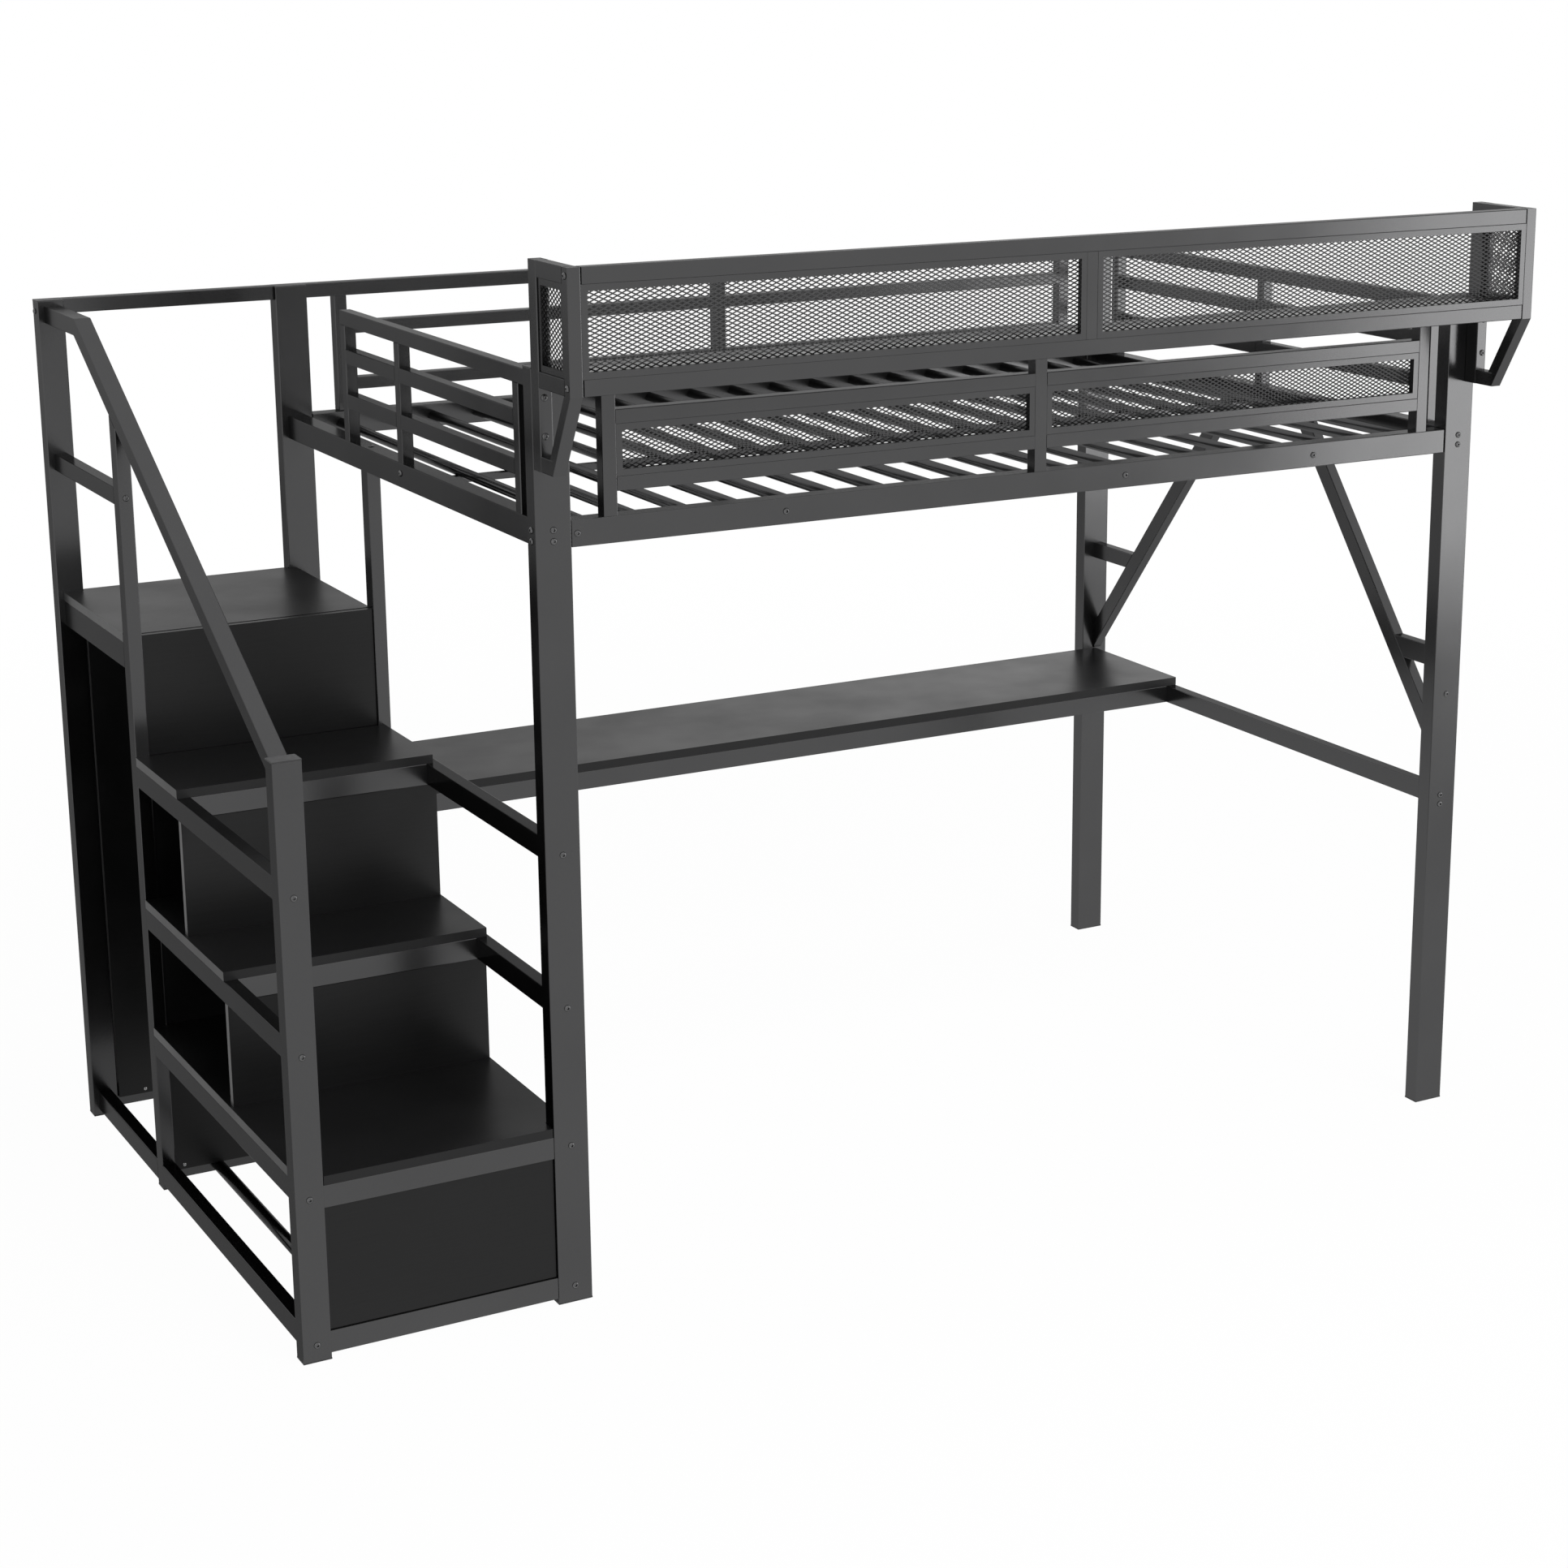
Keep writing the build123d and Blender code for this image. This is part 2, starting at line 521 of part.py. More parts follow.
# Tray front: two rails and a middle post between the brackets
inside_x = (TRAY_TUBE, BED_LENGTH - TRAY_TUBE)
front_x = (inside_x[0] + TRAY_FRONT_GAP, inside_x[1] - TRAY_FRONT_GAP)
tray_mid = MIDDLE_X - TRAY_OFF_MIDDLE
tray_mid_x = (tray_mid - TRAY_TUBE / 2, tray_mid + TRAY_TUBE / 2)
shapes = [tube(front_x, TRAY_FRONT, z, "x") for z in (tray_low, tray_high)]
shapes.append(tube(tray_mid_x, TRAY_FRONT, (tray_low[1], tray_high[0]), "z"))
tab_y = (TRAY_FRONT[0] + PLATE_MARGIN, TRAY_FRONT[1] - PLATE_MARGIN)
for z in (tray_low, tray_high):
    tab_z = (z[0] + PLATE_MARGIN, z[1] - PLATE_MARGIN)
    shapes.append(box((inside_x[0], front_x[0]), tab_y, tab_z))
    shapes.append(box((front_x[1], inside_x[1]), tab_y, tab_z))
add("tray_front_frame", *shapes)
tray_mesh_y = sum(TRAY_FRONT) / 2 + MESH_T / 2
tray_mesh_z = (tray_low[1], tray_high[0])
add("tray_mesh_left", upright_mesh((inside_x[0], tray_mid_x[0]), tray_mesh_y, tray_mesh_z))
add("tray_mesh_right", upright_mesh((tray_mid_x[1], inside_x[1]), tray_mesh_y, tray_mesh_z))

# Tray floor, a sheet with a turned-up rear edge on the rear rail
floor_top = TRAY_FLOOR_Z + TRAY_SHEET
floor = box(inside_x, (TRAY_FRONT[1], 0), (TRAY_FLOOR_Z, floor_top))
floor += box(inside_x, (-TRAY_SHEET, 0), (TRAY_FLOOR_Z, TRAY_FLOOR_Z + TRAY_LIP_H))
add("tray_floor", floor)
add("tray_rear_rail", tube(inside_x, (-TRAY_TUBE, 0), (TRAY_LOW_Z, TRAY_FLOOR_Z), "x"))

# Desk: a board on a front, a rear and two end rails
desk_z = (DESK_RAIL_Z, DESK_BOARD_Z)
desk_rail_x = (RIGHT_SIDE[1], DESK_RIGHT[0])
desk_rear = BACK_POST_Y - DESK_REAR_SETBACK
add("desk_front_rail", tube(desk_rail_x, (DESK_FRONT_Y, DESK_FRONT_Y + DESK_RAIL_W), desk_z, "x"))
add("desk_rear_rail", tube(desk_rail_x, (desk_rear - DESK_RAIL_W, desk_rear), desk_z, "x"))
add("desk_left_rail", tube(RIGHT_SIDE, run_back, desk_z, "y"))
add("desk_right_rail", tube(DESK_RIGHT, inside_y, desk_z, "y"))
desk_x = (RIGHT_SIDE[1] - DESK_LEFT_LAP, DESK_RIGHT[1])
add("desk_top", box(desk_x, (DESK_FRONT_Y, BACK_POST_Y), (DESK_BOARD_Z, DESK_TOP_Z)))

# Braces from the right posts up to the end rail, each with a level strut
shapes = []
for post_y, rise, reach, strut_h in (
    (POST_D, FRONT_BRACE_RISE, FRONT_BRACE_REACH, STRUT_H[0]),
    (BACK_POST_Y, BACK_BRACE_RISE, -BACK_BRACE_REACH, STRUT_H[1]),
):
    foot_z = DESK_TOP_Z + rise
    foot = (post_y, foot_z)
    brace = slanted_tube(foot, (post_y + reach, RAIL_Z), BRACE_X, BRACE_DEPTH, 4 * BRACE_DEPTH)
    brace = brace & box(BRACE_X, inside_y, (0, RAIL_Z))
    lean = (RAIL_Z - foot_z) / reach
    lift = BRACE_DEPTH * math.hypot(1, lean)

    def brace_back_y(z):
        """Where the brace's upper face is at a height."""
        return post_y + (z - foot_z - lift) / lean

    strut_z = (DESK_TOP_Z + STRUT_RISE, DESK_TOP_Z + STRUT_RISE + strut_h)
    strut_y = sorted((post_y, brace_back_y(strut_z[1])))
    strut = tube(BRACE_X, strut_y, strut_z, "y")
    wedge = Polyline(
        (post_y, strut_z[0]),
        (brace_back_y(strut_z[0]), strut_z[0]),
        (brace_back_y(strut_z[1]), strut_z[1]),
        (post_y, strut_z[1]),
        close=True,
    )
    strut = strut & extrude(Plane.YZ.offset(BRACE_X[0]) * make_face(wedge), BRACE_W)
    shapes += [brace, strut]
add("right_end_braces", *shapes)


# Bolts with low heads, each in a hole drilled through the wall that it meets
def fastener(point, way, head_r, head_h, shank_r, length):
    """Head and shank, both many-sided, on the line that leaves a face at a point."""
    crown = Pos(0, 0, head_h) * RegularPolygon(head_r * 0.75, HEAD_SIDES)
    head = loft([RegularPolygon(head_r, HEAD_SIDES), crown])
    shank = extrude(RegularPolygon(shank_r, SHANK_SIDES), -length)
    return Plane(point, z_dir=way) * (head + shank)


def hole(point, way, radius, depth):
    """Hole for a shank behind a point."""
    return Plane(point, z_dir=way) * extrude(RegularPolygon(radius, SHANK_SIDES), -depth)


def pair(z):
    """Heights of a pair of bolts about a middle."""
    return (z - BOLT_PAIR / 2, z + BOLT_PAIR / 2)


FRONTWARD = (0, -1, 0)
BACKWARD = (0, 1, 0)
LEFTWARD = (-1, 0, 0)
RIGHTWARD = (1, 0, 0)
UPWARD = (0, 0, 1)
stair_levels = [sum(z) / 2 for z in [bottom_z] + tread_rail_z]
left_post_x = POST_W / 2
right_post_x = BED_LENGTH - POST_W / 2
newel_x = sum(STAIR_X) / 2
bolts = {name: [] for name in nodes}
for z in pair(rail_mid):
    bolts["front_left_post"] += [((left_post_x, 0, z), FRONTWARD), ((0, POST_D / 2, z), LEFTWARD)]
    bolts["front_right_post"] += [
        ((right_post_x, 0, z), FRONTWARD),
        ((BED_LENGTH, POST_D / 2, z), RIGHTWARD),
    ]
    bolts["back_left_post"].append(((left_post_x, BED_WIDTH, z), BACKWARD))
    bolts["back_right_post"] += [
        ((right_post_x, BED_WIDTH, z), BACKWARD),
        ((BED_LENGTH, BED_WIDTH - POST_D / 2, z), RIGHTWARD),
    ]
for z in stair_levels:
    bolts["stair_newel_post"].append(((newel_x, 0, z), FRONTWARD))
    bolts["front_left_post"].append(((left_post_x, 0, z), FRONTWARD))
for x in RAIL_BOLT_X:
    bolts["front_side_rail"].append(((x, 0, rail_mid), FRONTWARD))
    bolts["back_side_rail"].append(((x, BED_WIDTH, rail_mid), BACKWARD))
for name, (left, right), face, way in (
    ("left_end_rail", LEFT_RAIL, 0, LEFTWARD),
    ("right_end_rail", RIGHT_RAIL, 1, RIGHTWARD),
):
    end_face = (left, right)[face]
    bolts[name].append(((end_face, BED_WIDTH / 2, rail_mid + END_BOLT_RISE), way))
    bolts[name].append((((left + right) / 2, END_TOP_BOLT_Y, RAIL_TOP), UPWARD))
top_bolt = (-STAIR_REACH, BED_WIDTH - TOP_RAIL_BOLT[0], POST_HEIGHT - TOP_RAIL_BOLT[1])
bolts["stair_back_post"].append((top_bolt, LEFTWARD))
for z in pair(DESK_RAIL_Z + DESK_BOLT_RISE):
    bolts["front_right_post"].append(((BED_LENGTH - DESK_BOLT_INSET, 0, z), FRONTWARD))
bolts["front_right_post"].append(((right_post_x, 0, DESK_TOP_Z + BRACE_BOLT_RISE), FRONTWARD))
bar_mid = sum(guard_bar_z) / 2
bolts["landing_left_post"].append(((sum(LEFT_SIDE) / 2, MID_POST[0], bar_mid), FRONTWARD))
for name, face, x, way in (
    ("tray_left_frame", 0, TRAY_BOLT_X, LEFTWARD),
    ("tray_right_frame", BED_LENGTH, BED_LENGTH - TRAY_BOLT_X, RIGHTWARD),
):
    for z in (sum(tray_low) / 2, sum(tray_high) / 2):
        bolts[name].append(((face, TRAY_BOLT_Y - TRAY_DEPTH, z), way))
    for z in (bracket_bar[1] + TRAY_BACK_D, TRAY_LOW_Z - TRAY_BACK_D / 2):
        bolts[name].append(((x, -TRAY_BACK_D, z), FRONTWARD))
solids = []
for name, places in bolts.items():
    if places:
        drill(name, [hole(*place, BOLT_R + BOLT_PLAY, 2 * WALL) for place in places])
    for place in places:
        solids.append(fastener(*place, BOLT_HEAD_R, BOLT_HEAD_H, BOLT_R, BOLT_LENGTH))
add("frame_bolts", *solids)

# Screws that hold the panels to the bottom rails, in holes made for them
screws = {"landing_riser": [], "wardrobe_back_panel": []}
screw_z = (panel_foot + bottom_z[1]) / 2
for x in (between_sides[0] + SCREW_INSET, between_sides[1] - SCREW_INSET):
    screws["landing_riser"].append(((x, PANEL_MID[0], screw_z), FRONTWARD))
for x in (bay_x[0] + 3 * SCREW_INSET, bay_x[1] - 3 * SCREW_INSET):
    screws["wardrobe_back_panel"].append(((x, back_panel_y[0], screw_z), FRONTWARD))
solids = []
for name, places in screws.items():
    drill(name, [hole(*place, SCREW_R + SCREW_PLAY, PANEL_T) for place in places])
    for place in places:
        solids.append(fastener(*place, SCREW_HEAD_R, SCREW_HEAD_H, SCREW_R, SCREW_LENGTH))
add("panel_screws", *solids)

# Each piece goes to a file of its own, in the object's own frame
os.makedirs("parts", exist_ok=True)
for name, solids in nodes.items():
    placed = [Pos(-CENTRE[0], -CENTRE[1], 0) * solid for solid in solids]
    export_step(placed[0] if len(placed) == 1 else Compound(placed), f"parts/{name}.step")
print(len(nodes), "pieces,", sum(len(solids) for solids in nodes.values()), "solids")
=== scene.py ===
import math
import bmesh
import bpy
from mathutils import Matrix, Vector


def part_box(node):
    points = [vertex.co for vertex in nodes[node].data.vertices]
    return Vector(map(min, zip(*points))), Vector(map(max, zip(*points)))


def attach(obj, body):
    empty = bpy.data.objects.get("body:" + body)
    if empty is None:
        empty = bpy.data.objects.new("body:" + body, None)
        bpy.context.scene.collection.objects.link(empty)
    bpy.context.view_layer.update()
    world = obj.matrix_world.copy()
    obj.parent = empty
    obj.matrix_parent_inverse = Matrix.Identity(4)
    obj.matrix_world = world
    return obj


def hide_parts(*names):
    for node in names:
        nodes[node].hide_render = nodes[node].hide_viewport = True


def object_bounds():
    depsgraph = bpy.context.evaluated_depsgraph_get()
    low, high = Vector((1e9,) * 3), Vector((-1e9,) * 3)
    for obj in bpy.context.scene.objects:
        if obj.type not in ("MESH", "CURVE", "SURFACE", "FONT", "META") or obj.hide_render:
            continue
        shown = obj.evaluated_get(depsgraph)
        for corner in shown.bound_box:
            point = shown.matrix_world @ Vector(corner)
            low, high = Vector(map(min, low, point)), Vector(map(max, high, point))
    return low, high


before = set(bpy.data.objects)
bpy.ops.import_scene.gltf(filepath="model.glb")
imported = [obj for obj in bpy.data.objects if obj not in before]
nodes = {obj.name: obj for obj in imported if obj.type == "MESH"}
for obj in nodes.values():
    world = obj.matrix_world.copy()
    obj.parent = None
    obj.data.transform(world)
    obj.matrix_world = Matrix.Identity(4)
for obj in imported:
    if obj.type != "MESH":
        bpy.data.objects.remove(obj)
cad_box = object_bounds()
scene = bpy.context.scene


# Posts of the bed, the stair and the landing. Rectangular steel tube with rounded corners, cut square at
# the floor and bolted to the rails. The dark grey powder coat is baked on, with a fine orange peel and a
# soft sheen.
def new_group(name, inputs, outputs):
    """Empty shader group with float, colour or vector sockets."""
    group = bpy.data.node_groups.new(name, "ShaderNodeTree")
    for label, kind, value in inputs:
        socket = group.interface.new_socket(label, in_out="INPUT", socket_type=kind)
        socket.default_value = value
    for label, kind in outputs:
        group.interface.new_socket(label, in_out="OUTPUT", socket_type=kind)
    return group, group.nodes.new("NodeGroupInput"), group.nodes.new("NodeGroupOutput")


def noise(tree, place, scale, detail):
    """Noise over the object's own place, in repeats per metre."""
    texture = tree.nodes.new("ShaderNodeTexNoise")
    texture.inputs["Scale"].default_value = scale
    texture.inputs["Detail"].default_value = detail
    tree.links.new(place, texture.inputs["Vector"])
    return texture.outputs["Fac"]


def spread(tree, value, low, high, start=0.3, stop=0.7):
    """A value between start and stop spread over a range."""
    node = tree.nodes.new("ShaderNodeMapRange")
    node.inputs["From Min"].default_value = start
    node.inputs["From Max"].default_value = stop
    tree.links.new(value, node.inputs["Value"])
    for end, label in ((low, "To Min"), (high, "To Max")):
        if isinstance(end, float):
            node.inputs[label].default_value = end
        else:
            tree.links.new(end, node.inputs[label])
    return node.outputs["Result"]


def reckon(tree, operation, first, second):
    """One sum on two values, each a socket or a number."""
    node = tree.nodes.new("ShaderNodeMath")
    node.operation = operation
    for i, value in enumerate((first, second)):
        if isinstance(value, float):
            node.inputs[i].default_value = value
        else:
            tree.links.new(value, node.inputs[i])
    return node.outputs[0]


def mixed(tree, share, first, second):
    """Two colours mixed by a share."""
    node = tree.nodes.new("ShaderNodeMix")
    node.data_type = "RGBA"
    tree.links.new(share, node.inputs["Factor"])
    for i, colour in ((6, first), (7, second)):
        if isinstance(colour, tuple):
            node.inputs[i].default_value = colour
        else:
            tree.links.new(colour, node.inputs[i])
    return node.outputs[2]


def powder_coat_group():
    """Colour, roughness and relief of a baked powder coat."""
    group, given, made = new_group(
        "powder_coat",
        (
            ("Colour", "NodeSocketColor", (0.1, 0.1, 0.1, 1)),
            ("Light Colour", "NodeSocketColor", (0.12, 0.12, 0.12, 1)),
            ("Roughness Low", "NodeSocketFloat", 0.4),
            ("Roughness High", "NodeSocketFloat", 0.5),
        ),
        (("Colour", "NodeSocketColor"), ("Roughness", "NodeSocketFloat"), ("Height", "NodeSocketFloat")),
    )
    place = group.nodes.new("ShaderNodeTexCoord").outputs["Object"]
    cloud = noise(group, place, scale=5.0, detail=3.0)
    fleck = noise(group, place, scale=700.0, detail=1.0)
    peel = noise(group, place, scale=420.0, detail=2.0)
    shade = reckon(group, "ADD", reckon(group, "MULTIPLY", cloud, 0.5), reckon(group, "MULTIPLY", fleck, 0.5))
    lightness = spread(group, shade, 0.0, 1.0)
    blend = mixed(group, lightness, given.outputs["Colour"], given.outputs["Light Colour"])
    group.links.new(blend, made.inputs["Colour"])
    rough = spread(group, cloud, given.outputs["Roughness Low"], given.outputs["Roughness High"])
    group.links.new(rough, made.inputs["Roughness"])
    group.links.new(peel, made.inputs["Height"])
    return group


powder_coat = powder_coat_group()


def coated_steel(name, colour, light_colour, roughness):
    """Material of a steel piece under a powder coat with metal flakes, its sheen even at all angles."""
    material = bpy.data.materials.new(name)
    material.use_nodes = True
    tree = material.node_tree
    shader = tree.nodes["Principled BSDF"]
    shader.inputs["Metallic"].default_value = 0.9
    shader.inputs["Specular Tint"].default_value = (0.4, 0.4, 0.4, 1)
    coat = tree.nodes.new("ShaderNodeGroup")
    coat.node_tree = powder_coat
    coat.inputs["Colour"].default_value = (*colour, 1)
    coat.inputs["Light Colour"].default_value = (*light_colour, 1)
    coat.inputs["Roughness Low"].default_value = roughness[0]
    coat.inputs["Roughness High"].default_value = roughness[1]
    bump = tree.nodes.new("ShaderNodeBump")
    bump.inputs["Strength"].default_value = 0.08
    bump.inputs["Distance"].default_value = 0.0004
    tree.links.new(coat.outputs["Colour"], shader.inputs["Base Color"])
    tree.links.new(coat.outputs["Roughness"], shader.inputs["Roughness"])
    tree.links.new(coat.outputs["Height"], bump.inputs["Height"])
    tree.links.new(bump.outputs["Normal"], shader.inputs["Normal"])
    return material


def dress(material, *names):
    """Gives CAD nodes one material."""
    for name in names:
        nodes[name].data.materials.clear()
        nodes[name].data.materials.append(material)


coat_colour = (0.076, 0.076, 0.077)
coat_light_colour = (0.086, 0.086, 0.087)
coat_roughness = (0.17, 0.23)
dark_coat = (coat_colour, coat_light_colour, coat_roughness)
post_coat = coated_steel("post_coat", *dark_coat)
dress(
    post_coat,
    "front_left_post",
    "front_right_post",
    "back_left_post",
    "back_right_post",
    "stair_newel_post",
    "stair_back_post",
    "landing_left_post",
    "landing_right_post",
)


# Caps in the open tops of the posts and glides under their feet. Dark grey plastic, injection moulded and
# pushed into the tube by hand. The edges are rounded and the faces have a fine spark eroded grain.
def soften(width, segments, *names):
    """Rounds the sharp edges of CAD nodes."""
    for name in names:
        bevel = nodes[name].modifiers.new("soft_edge", "BEVEL")
        bevel.width = width
        bevel.segments = segments
        bevel.limit_method = "ANGLE"
        bevel.angle_limit = math.radians(40)


cap_colour = (0.055, 0.055, 0.056, 1)
cap_worn_colour = (0.075, 0.075, 0.076, 1)
cap_edge = 0.0012
cap_plastic = bpy.data.materials.new("cap_plastic")
cap_plastic.use_nodes = True
tree = cap_plastic.node_tree
shader = tree.nodes["Principled BSDF"]
shader.inputs["Specular IOR Level"].default_value = 0.35
place = tree.nodes.new("ShaderNodeTexCoord").outputs["Object"]
sparks = noise(tree, place, scale=1500.0, detail=2.0)
wear = noise(tree, place, scale=60.0, detail=3.0)
cap_shade = mixed(tree, spread(tree, wear, 0.0, 1.0), cap_colour, cap_worn_colour)
tree.links.new(cap_shade, shader.inputs["Base Color"])
tree.links.new(spread(tree, sparks, 0.5, 0.65), shader.inputs["Roughness"])
bump = tree.nodes.new("ShaderNodeBump")
bump.inputs["Strength"].default_value = 0.3
bump.inputs["Distance"].default_value = 0.0002
tree.links.new(sparks, bump.inputs["Height"])
tree.links.new(bump.outputs["Normal"], shader.inputs["Normal"])
dress(cap_plastic, "post_caps", "foot_glides")
soften(cap_edge, 2, "post_caps", "foot_glides")

# Side and end rails of the bed. Rectangular tube, the long ones closed by welded end plates that the
# bolts pull against the posts. They are coated before they are bolted up.
rail_coat = coated_steel("rail_coat", *dark_coat)
dress(rail_coat, "front_side_rail", "back_side_rail", "left_end_rail", "right_end_rail")


# Slats and the beam under them. The slats are round tube welded between the side rails, the beam a slim
# tube from end to end. The round tube is drawn smooth here, in place of the faceted one.
def islands(name):
    """Corner points of each separate solid of a CAD node, in its own order."""
    copy = bmesh.new()
    copy.from_mesh(nodes[name].data)
    bmesh.ops.remove_doubles(copy, verts=copy.verts, dist=0.00001)
    found = []
    done = set()
    for seed in copy.verts:
        if seed in done:
            continue
        done.add(seed)
        group = [seed]
        for vert in group:
            for edge in vert.link_edges:
                other = edge.other_vert(vert)
                if other not in done:
                    done.add(other)
                    group.append(other)
        found.append([nodes[name].matrix_world @ vert.co for vert in group])
    copy.free()
    return found


def span(points):
    """Lowest and highest corner of some points."""
    low = Vector([min(p[i] for p in points) for i in range(3)])
    high = Vector([max(p[i] for p in points) for i in range(3)])
    return low, high


def put(name, build, material, node):
    """Makes an object of a finished bmesh, in place of a CAD node where one is named."""
    data = bpy.data.meshes.new(name)
    build.to_mesh(data)
    build.free()
    data.materials.append(material)
    piece = bpy.data.objects.new(name, data)
    scene.collection.objects.link(piece)
    if node:
        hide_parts(node)
    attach(piece, "root")
    return piece


tube_sides = 40


def round_tubes(name, node, radius, material):
    """Smooth round tubes along Y in place of the faceted ones of a CAD node."""
    build = bmesh.new()
    for points in islands(node):
        low, high = span(points)
        turn = Matrix.Translation((low + high) / 2) @ Matrix.Rotation(math.radians(90), 4, "X")
        bmesh.ops.create_cone(
            build,
            segments=tube_sides,
            cap_ends=True,
            radius1=radius,
            radius2=radius,
            depth=high.y - low.y,
            matrix=turn,
        )
    for face in build.faces:
        face.smooth = len(face.verts) == 4
    return put(name, build, material, node)


slat_radius = 0.0105
slat_coat = coated_steel("slat_coat", (0.074, 0.074, 0.075), (0.084, 0.084, 0.085), (0.18, 0.24))
round_tubes("round_slats", "slats", slat_radius, slat_coat)
dress(slat_coat, "middle_beam")

# Long guards. Uprights welded on the side rails with two rails in each bay, and a rail along the tops of
# the back posts. Small rectangular tube, welded into frames and coated as one.
guard_coat = coated_steel("guard_coat", *dark_coat)
dress(guard_coat, "front_guard", "back_guard", "back_top_rail")

# End guards. The left one stops short to leave the way in from the landing, the right one runs from post
# to post. Their bars are welded to the uprights, and the feet of the uprights to the end rails.
end_coat = coated_steel("end_coat", *dark_coat)
dress(end_coat, "left_end_guard", "right_end_guard")

# Mesh panels. Expanded steel sheet, slit and drawn out into diamonds, welded into a flat bar rim that is
# welded inside the tubes. It is coated together with the tubes.
half_bond = 0.0024
half_strand = 0.0015
strand_twist = 0.0008
sheet_thickness = 0.0011
rim_width = 0.012
join_reach = 0.0002


def expanded_cell(a, b):
    """One crossing of strands, with a quarter of each crossing at its corners, a by b out from its middle."""
    cell = bmesh.new()

    def corner(x, z, depth):
        """A point of the sheet, which lies in X and Z."""
        return cell.verts.new((x, depth, z))

    right = corner(half_bond, 0, 0)
    top = corner(0, half_strand, -strand_twist)
    left = corner(-half_bond, 0, 0)
    bottom = corner(0, -half_strand, strand_twist)
    cell.faces.new((right, top, left, bottom))
    quarters = ((1, 1, right, top), (-1, 1, left, top), (-1, -1, left, bottom), (1, -1, right, bottom))
    for sx, sz, beside, over in quarters:
        low = corner(sx * a, sz * (b - half_strand), sz * strand_twist)
        inner = corner(sx * (a - half_bond), sz * b, 0)
        far = corner(sx * a, sz * b, 0)
        cell.faces.new((beside, low, inner, over))
        cell.faces.new((low, far, inner))
    bmesh.ops.recalc_face_normals(cell, faces=cell.faces)
    return cell


def mesh_panel(name, node, holder, turn, pitch, setback):
    """Expanded sheet in a flat bar rim, in place of a CAD panel, facing out from the frame that holds it."""
    low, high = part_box(node)
    centre = (low + high) / 2
    place = Matrix.Translation(centre) @ Matrix.Rotation(math.radians(turn), 4, "Z")
    width = (high - low).xy[1 if turn else 0]
    height = high.z - low.z
    corners = [place.inverted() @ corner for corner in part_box(holder)]
    front = min(corner.y for corner in corners) + setback
    room = (width - 2 * rim_width, height - 2 * rim_width)
    counts = (round(room[0] / pitch[0]), round(room[1] / pitch[1]))
    step = (room[0] / counts[0], room[1] / counts[1])
    cell = expanded_cell(step[0] / 2, step[1] / 2)
    for vert in cell.verts:
        vert.co.x -= (room[0] - step[0]) / 2
        vert.co.z -= (room[1] - step[1]) / 2
    panel = put(name, cell, mesh_coat, node)
    for count, way in zip(counts, ((step[0], 0, 0), (0, 0, step[1]))):
        row = panel.modifiers.new("row", "ARRAY")
        row.count = count
        row.use_relative_offset = False
        row.use_constant_offset = True
        row.constant_offset_displace = way
        row.use_merge_vertices = True
        row.merge_threshold = join_reach
    thick = panel.modifiers.new("thick", "SOLIDIFY")
    thick.thickness = sheet_thickness
    thick.offset = 0
    panel.matrix_world = place

    bars = bmesh.new()
    outer = (width / 2, height / 2)
    inner = (outer[0] - rim_width, outer[1] - rim_width)
    rings = []
    for size in (outer, inner):
        for depth in (0.0, front):
            ring = ((-1, -1), (1, -1), (1, 1), (-1, 1))
            rings.append([bars.verts.new((sx * size[0], depth, sz * size[1])) for sx, sz in ring])
    back_out, front_out, back_in, front_in = rings
    for i in range(4):
        j = (i + 1) % 4
        bars.faces.new((front_out[i], front_out[j], front_in[j], front_in[i]))
        bars.faces.new((front_in[i], front_in[j], back_in[j], back_in[i]))
        bars.faces.new((back_in[i], back_in[j], back_out[j], back_out[i]))
        bars.faces.new((back_out[i], back_out[j], front_out[j], front_out[i]))
    bmesh.ops.recalc_face_normals(bars, faces=bars.faces)
    border = put(name + "_rim", bars, rim_coat, None)
    border.matrix_world = place


mesh_coat = coated_steel("mesh_coat", *dark_coat)
rim_coat = coated_steel("rim_coat", *dark_coat)
guard_pitch = (0.0161, 0.0082)
guard_setback = 0.0006
tray_pitch = (0.0178, 0.0084)
tray_setback = 0.0003
tray_end_pitch = (0.0158, 0.0102)
tray_end_setback = 0.003
for side in ("left", "right"):
    node, holder = f"front_guard_mesh_{side}", "front_guard"
    mesh_panel(f"guard_mesh_{side}", node, holder, 0, guard_pitch, guard_setback)
for side in ("left", "right"):
    node, holder = f"tray_mesh_{side}", "tray_front_frame"
    mesh_panel(f"tray_front_mesh_{side}", node, holder, 0, tray_pitch, tray_setback)
for side, turn in (("left", -90), ("right", 90)):
    node, holder = f"tray_{side}_mesh", f"tray_{side}_frame"
    mesh_panel(f"tray_side_mesh_{side}", node, holder, turn, tray_end_pitch, tray_end_setback)

